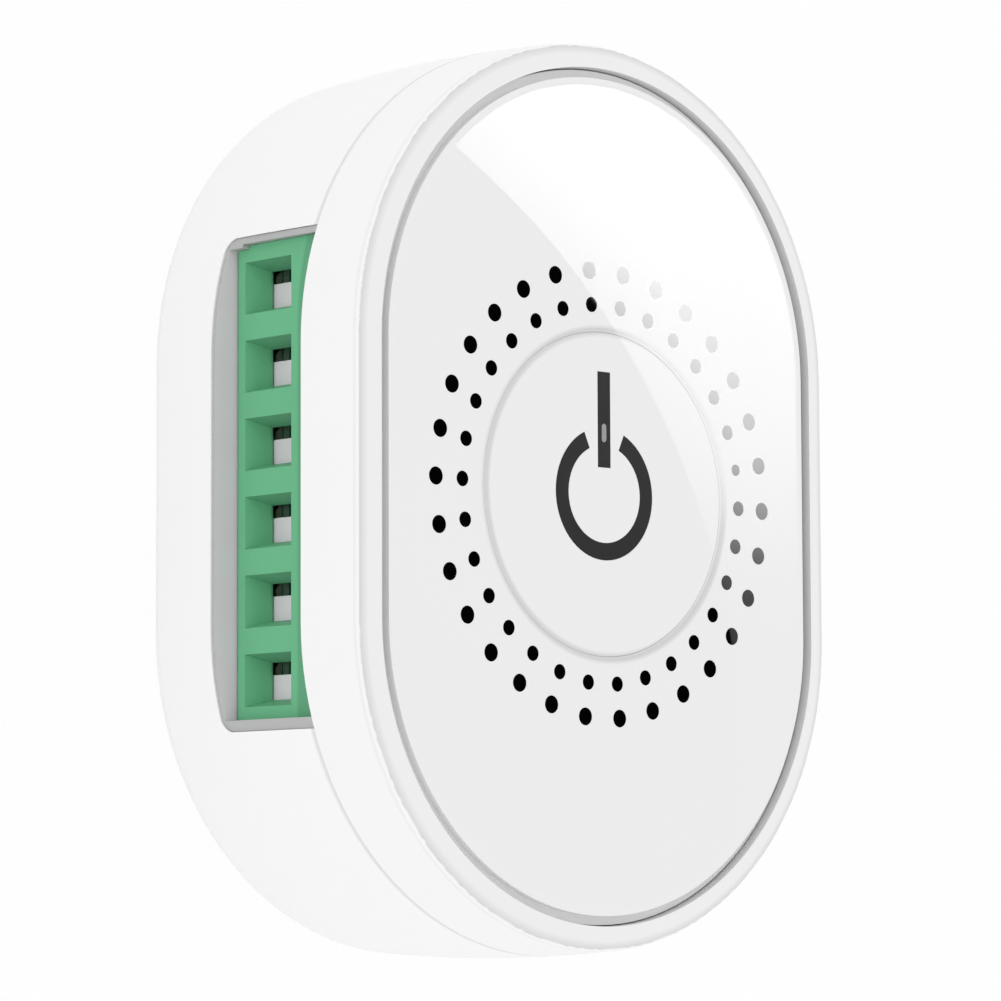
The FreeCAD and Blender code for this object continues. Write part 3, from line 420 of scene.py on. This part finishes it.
def terminal_green():
    """Green plastic with painted shade: darker in the chambers behind the ports, towards its high end under the
    cover, on faces turned back or to -Y, and along the rear and front edges of its face; faces turned to the front
    are painted lighter.
    """
    m = moulded("terminal_green", GREEN, 0.5, grain=0.08, gloss=0.15)
    cloud = m.mix(m.noise(CLOUD_SCALE), scaled(GREEN, 0.97), scaled(GREEN, 1.03))
    z_turn, y_turn = m.axis(2, m.facing), m.axis(1, m.facing)
    # painted shade along the rear and front edges of the block's face
    rear = m.spread(m.axis(2), 0.70, 1.0, BLOCK_REAR_LINE, BLOCK_REAR_LINE + 0.3 * MM)
    high = m.math("MAXIMUM", m.math("SUBTRACT", m.axis(1), BLOCK_CURVE_START), 0.0)
    front = m.math("SUBTRACT", m.axis(2), m.product(high, high, BLOCK_CURVE))
    front = m.spread(front, 1.0, 0.80, BLOCK_FRONT_LINE - 0.38 * MM, BLOCK_FRONT_LINE - 0.12 * MM)
    on_face = m.below(m.axis(0), BLOCK_LOW.x + 0.05 * MM)
    funnel_end = BLOCK_LOW.x + FUNNEL_BACK
    # painted shade under the cover, on faces turned back or to -Y and in the chambers; painted light on faces
    # turned to the front
    painted_shade = m.product(m.spread(m.axis(2), 1.0, 0.72, BLOCK_HIGH.z - 0.9 * MM, BLOCK_HIGH.z),
                     m.spread(z_turn, 0.35, 1.0, -0.6, -0.1),
                     m.spread(z_turn, 1.0, 1.13, 0.4, 0.7),
                     m.spread(y_turn, 0.78, 1.0, -0.9, -0.4),
                     m.spread(m.axis(0), 1.0, 0.12, funnel_end, funnel_end + 0.15 * MM),
                     m.only(on_face, m.product(rear, front)))
    m.set(Base_Color=m.shade(cloud, painted_shade))
    return m


def zinc_steel():
    """Zinc plate on the guards, and behind them painted shade: the dark green of the chambers in shadow."""
    m = Maker("zinc_steel")
    worn = m.noise(1200.0, 4.0)
    plate = m.mix(worn, (0.96, 0.84, 0.93), (0.99, 0.87, 0.96))
    # painted shade: behind the plates the metal is painted dark green, as the chambers look in shadow
    behind = m.above(m.axis(0), BLOCK_LOW.x + PLATE_BACK)
    m.set(Base_Color=m.mix(behind, plate, m.mix(worn, (0.055, 0.15, 0.09), (0.08, 0.20, 0.12))), Metallic=0.2,
          Roughness=m.spread(worn, 0.32, 0.5))
    m.bump(worn, 0.08, GRAIN_DEPTH)
    return m


# Materials of the inside

def foam_tape():
    return moulded("tape", (0.75, 0.74, 0.68), 0.9, grain=0.4, grain_scale=1800.0)


def solder_mask():
    """Green board: the tracks show as slightly lighter lanes under the mask."""
    m = Maker("board_green")
    lanes = m.add("ShaderNodeTexBrick", offset=0.5)
    lanes.inputs["Scale"].default_value = 160.0
    lanes.inputs["Mortar Size"].default_value = 0.012
    lanes.inputs["Color1"].default_value = (0.012, 0.105, 0.035, 1)
    lanes.inputs["Color2"].default_value = (0.016, 0.130, 0.045, 1)
    lanes.inputs["Mortar"].default_value = (0.035, 0.21, 0.08, 1)
    m.link(m.place, lanes.inputs["Vector"])
    m.set(Base_Color=lanes.outputs["Color"], Roughness=m.spread(m.noise(700.0), 0.22, 0.34))
    m.bump(lanes.outputs["Fac"], 0.3, 0.00003)
    return m


def winding_tape():
    m = Maker("winding_tape")
    wraps = m.add("ShaderNodeTexWave", wave_type="BANDS", bands_direction="Z")
    wraps.inputs["Scale"].default_value = 260.0
    wraps.inputs["Distortion"].default_value = 0.6
    m.link(m.place, wraps.inputs["Vector"])
    m.set(Base_Color=m.mix(wraps.outputs["Fac"], (0.80, 0.52, 0.04), (0.88, 0.62, 0.08)), Roughness=0.22)
    m.bump(wraps.outputs["Fac"], 0.3, 0.00004)
    return m


SLOT_MAKERS = {
    "housing_white": housing_white,
    "panel_white": panel_white,
    "liner_grey": liner_grey,
    "dot_black": dot_black,
    "tape": foam_tape,
    "symbol_grey": symbol_grey,
    "light_pipe": light_pipe,
    "switch_black": lambda: moulded("switch_black", (0.02, 0.02, 0.022), 0.45),
    "switch_plunger": lambda: moulded("switch_plunger", (0.05, 0.05, 0.055), 0.4),
    "spring_steel": lambda: metal("spring_steel", (0.70, 0.69, 0.66), 0.25),
    "lamp_resin": lambda: moulded("lamp_resin", (0.85, 0.80, 0.62), 0.2),
    "board_green": solder_mask,
    "relay_blue": lambda: with_leads(moulded("relay_blue", (0.02, 0.10, 0.42), 0.35, colour_drift=0.04)),
    "film_yellow": lambda: with_leads(moulded("film_yellow", (0.78, 0.50, 0.05), 0.35, colour_drift=0.05)),
    "can_sleeve": lambda: with_leads(moulded("can_sleeve", (0.015, 0.02, 0.05), 0.25)),
    "varistor_blue": lambda: with_leads(moulded("varistor_blue", (0.02, 0.14, 0.48), 0.3, grain=0.3)),
    "resistor_green": lambda: with_leads(moulded("resistor_green", (0.10, 0.28, 0.20), 0.55, grain=0.3)),
    "ferrite": lambda: moulded("ferrite", (0.045, 0.045, 0.05), 0.7, grain=0.6, grain_scale=2200.0,
                               colour_drift=0.25),
    "bobbin_black": lambda: with_leads(moulded("bobbin_black", (0.015, 0.015, 0.016), 0.5)),
    "winding_tape": winding_tape,
    "chip_black": lambda: moulded("chip_black", (0.018, 0.018, 0.02), 0.6, grain=0.25),
    "tinned_steel": lambda: metal("tinned_steel", (0.66, 0.66, 0.67), 0.28, (1, 8, 1)),
    "antenna_ceramic": lambda: moulded("antenna_ceramic", (0.78, 0.78, 0.74), 0.5),
    "terminal_green": terminal_green,
    "tinned_brass": lambda: metal("tinned_brass", (0.74, 0.70, 0.58), 0.3),
    "zinc_steel": zinc_steel,
}

NODE_MAKERS = {"front_cover": cover_white}      # a node that doesn't take its slot's material


def dress_nodes():
    """Every node of the frame gets its own material or that of its slot."""
    made = {}
    for part in frame["record"]["subparts"]:
        slot, node = part["material_slot"], part["node"]
        key, maker = (node, NODE_MAKERS[node]) if node in NODE_MAKERS else (slot, SLOT_MAKERS[slot])
        if key not in made:
            made[key] = maker().material
        mesh = frame["nodes"][node].data
        mesh.materials.clear()
        mesh.materials.append(made[key])
    return made


def circle(reach, height, sides, x=0.0, y=0.0):
    angles = [2 * math.pi * side / sides for side in range(sides)]
    return [(x + reach * math.cos(angle), y + reach * math.sin(angle), height) for angle in angles]


def wall(first, second, sides):
    """The faces between two circles, given by the numbers of their first points."""
    afters = [(side + 1) % sides for side in range(sides)]
    return [(first + side, first + after, second + after, second + side) for side, after in enumerate(afters)]


def new_object(name, points, faces, *materials):
    mesh = bpy.data.meshes.new(name)
    mesh.from_pydata(points, [], faces)
    for material in materials:
        mesh.materials.append(material)
    made = bpy.data.objects.new(name, mesh)
    bpy.context.scene.collection.objects.link(made)
    return made


def make_dot_studs(black, white):
    """The studs of the dot ring fill the panel's holes, flush with its top: a black core in a white collar."""
    sides = 48
    top = PANEL_TOP - FLUSH_GAP
    points, faces, core_faces = [], [], set()

    def add_stud(x, y, radius, core_radius):
        start = len(points)
        for reach, height in ((radius, DOT_RING_TOP), (radius, top), (core_radius, top)):
            points.extend(circle(reach, height, sides, x, y))
        for level in (start, start + sides):
            faces.extend(wall(level, level + sides, sides))
        core_faces.add(len(faces))
        faces.append(tuple(range(start + 2 * sides, start + 3 * sides)))
        faces.append(tuple(reversed(range(start, start + sides))))

    for dots in (INNER_DOTS, OUTER_DOTS):
        for k in range(DOT_COUNT):
            angle = math.radians(360 * k / DOT_COUNT + DOT_TURN)
            radii = SMALL_DOT_RADII if dots is INNER_DOTS and k == SMALL_DOT else dots[1:]
            add_stud(dots[0] * math.cos(angle), dots[0] * math.sin(angle), *radii)
    studs = new_object("dot_studs", points, faces, white, black)
    for index in core_faces:
        studs.data.polygons[index].material_index = 1
    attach(studs, "housing")


def make_button_lip(material):
    """A soft lip that fills the panel's shallow step round the button, flush with both."""
    sides = 240
    low, top = PANEL_TOP - LIP_DEPTH, PANEL_TOP - FLUSH_GAP
    section = ((LIP_INNER, low), (LIP_OUTER, low), (LIP_OUTER, top), (LIP_INNER, top))
    points, faces = [], []
    for corner, (reach, height) in enumerate(section):
        points.extend(circle(reach, height, sides))
        faces.extend(wall(corner * sides, (corner + 1) % len(section) * sides, sides))
    lip = new_object("button_lip", points, faces, material)
    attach(lip, "housing")


def make_dome(material):
    """The switch's snap dome as a thin sheet in its raised shape; the real dome flattens when the plunger is
    pressed.
    """
    radius = (DOME_HIGH.x - DOME_LOW.x) / 2
    rise = DOME_HIGH.z - DOME_LOW.z - DOME_SHEET
    ball = (radius ** 2 + rise ** 2) / (2 * rise)
    rings, sides = 10, 64
    points, faces = [], []
    for lift in (0.0, DOME_SHEET):
        points.append((0.0, 0.0, DOME_LOW.z + rise + lift))
        for ring in range(1, rings + 1):
            reach = radius * ring / rings
            height = DOME_LOW.z + rise - ball + math.sqrt(ball ** 2 - reach ** 2) + lift
            points.extend(circle(reach, height, sides))
    skin = 1 + rings * sides      # points in each of the sheet's two faces
    for base in (0, skin):
        fan = [(base, base + 1 + side, base + 1 + (side + 1) % sides) for side in range(sides)]
        for ring in range(rings - 1):
            start = base + 1 + ring * sides
            for side in range(sides):
                following = (side + 1) % sides
                fan.append((start + side, start + sides + side, start + sides + following, start + following))
        faces += fan if base else [face[::-1] for face in fan]
    faces += wall(skin - sides, 2 * skin - sides, sides)
    dome = new_object("snap_dome", points, faces, material)
    for polygon in dome.data.polygons:
        polygon.use_smooth = polygon.index < len(faces) - sides
    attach(dome, "housing")
    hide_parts("tact_dome")
    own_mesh(dome)


# Stage: floor, backdrop, light and camera

def make_floor():
    """A pale floor that shows white, with the object's soft shadow."""
    half = FLOOR_SIZE / 2
    corners = [(-half, -half), (half, -half), (half, half), (-half, half)]
    m = Maker("floor_white")
    m.set(Base_Color=FLOOR_COLOUR, Roughness=0.9)
    m.shader.inputs["Specular IOR Level"].default_value = 0.0
    glow = m.add("ShaderNodeEmission")
    glow.inputs["Strength"].default_value = BACKDROP_WHITE
    path = m.add("ShaderNodeLightPath")
    seen = m.math("MAXIMUM", path.outputs["Is Camera Ray"], path.outputs["Is Glossy Ray"])
    seen = m.math("MAXIMUM", seen, path.outputs["Is Transmission Ray"])
    blend = m.add("ShaderNodeMixShader")
    m.link(m.product(seen, 1 - FLOOR_SHADE_SHARE), blend.inputs[0])
    m.link(m.shader.outputs[0], blend.inputs[1])
    m.link(glow.outputs[0], blend.inputs[2])
    m.link(blend.outputs[0], m.output.inputs["Surface"])
    floor = new_object("floor", [(x, y, -FLOOR_DROP) for x, y in corners], [(0, 1, 2, 3)], m.material)


def make_world():
    """A soft studio all round: brighter at the horizon than overhead, and plain white where it is seen."""
    world = bpy.data.worlds.new("studio")
    world.use_nodes = True
    bpy.context.scene.world = world
    tree = world.node_tree
    nodes, links = tree.nodes, tree.links
    background = nodes["Background"]
    background.inputs["Color"].default_value = (1, 1, 1, 1)
    place = nodes.new("ShaderNodeTexCoord")
    split = nodes.new("ShaderNodeSeparateXYZ")
    links.new(place.outputs["Generated"], split.inputs[0])
    level = nodes.new("ShaderNodeMapRange")
    links.new(split.outputs[2], level.inputs["Value"])
    level.inputs["From Min"].default_value = 0.0
    level.inputs["From Max"].default_value = 1.0
    level.inputs["To Min"].default_value = HORIZON_LIGHT
    level.inputs["To Max"].default_value = ZENITH_LIGHT
    path = nodes.new("ShaderNodeLightPath")
    seen = path.outputs["Is Camera Ray"]
    for other in ("Is Glossy Ray", "Is Transmission Ray"):
        either = nodes.new("ShaderNodeMath")
        either.operation = "MAXIMUM"
        links.new(seen, either.inputs[0])
        links.new(path.outputs[other], either.inputs[1])
        seen = either.outputs[0]
    pick = nodes.new("ShaderNodeMix")
    links.new(seen, pick.inputs[0])
    links.new(level.outputs["Result"], pick.inputs[2])
    pick.inputs[3].default_value = BACKDROP_WHITE
    links.new(pick.outputs[0], background.inputs["Strength"])


def make_card():
    """A lit card seen by reflections only. It stands square to the camera's mirror image in the panel."""
    def mirrored(vector):
        return Vector((vector.x, vector.y, -vector.z))

    place = Vector((CAMERA_PLACE.x, CAMERA_PLACE.y, 2 * PANEL_TOP - CAMERA_PLACE.z))
    right, down, forward = (mirrored(v) for v in (CAMERA_RIGHT, CAMERA_DOWN, CAMERA_FORWARD))
    (left_end, right_end), (top_end, low_end) = CARD_SPAN
    corners = [(left_end, top_end), (right_end, top_end), (right_end, low_end), (left_end, low_end)]
    turn = Matrix((right, down, forward)).transposed().to_4x4()

    m = Maker("card_light")
    reach = m.length(m.math("SUBTRACT", m.axis(0), CARD_BITE_CENTRE[0]),
                     m.math("SUBTRACT", m.axis(1), CARD_BITE_CENTRE[1]))
    edge = m.spread(reach, CARD_EDGE_SHARE, 1.0, CARD_BITE_RADIUS, CARD_BITE_RADIUS + CARD_EDGE_FADE)
    fall = m.spread(m.axis(1), 0.0, 1.0, top_end, low_end)
    strength = m.product(m.ramp(fall, CARD_FADE), CARD_STRENGTH)
    glow = m.add("ShaderNodeEmission")
    m.link(m.product(strength, m.product(m.above(reach, CARD_BITE_RADIUS), edge)), glow.inputs["Strength"])
    m.link(glow.outputs[0], m.output.inputs["Surface"])

    card = new_object("card", [(x, y, 0) for x, y in corners], [(0, 1, 2, 3)], m.material)
    card.matrix_world = Matrix.Translation(place + forward * CARD_DISTANCE) @ turn
    for ray in ("camera", "diffuse", "transmission", "shadow", "volume_scatter"):
        setattr(card, "visible_" + ray, False)


def make_camera():
    data = bpy.data.cameras.new("camera")
    data.sensor_width = SENSOR_WIDTH
    data.lens = LENS
    data.clip_start = 0.01
    data.clip_end = 20.0
    camera = bpy.data.objects.new("camera", data)
    bpy.context.scene.collection.objects.link(camera)
    turn = Matrix((CAMERA_RIGHT, -CAMERA_DOWN, -CAMERA_FORWARD)).transposed().to_4x4()
    camera.matrix_world = Matrix.Translation(CAMERA_PLACE) @ turn
    bpy.context.scene.camera = camera


def main():
    bpy.context.scene.view_settings.view_transform = "Standard"
    made = dress_nodes()
    make_dot_studs(made["dot_black"], made["panel_white"])
    make_button_lip(made["panel_white"])
    make_dome(made["spring_steel"])
    make_floor()
    make_world()
    make_card()
    make_camera()


main()
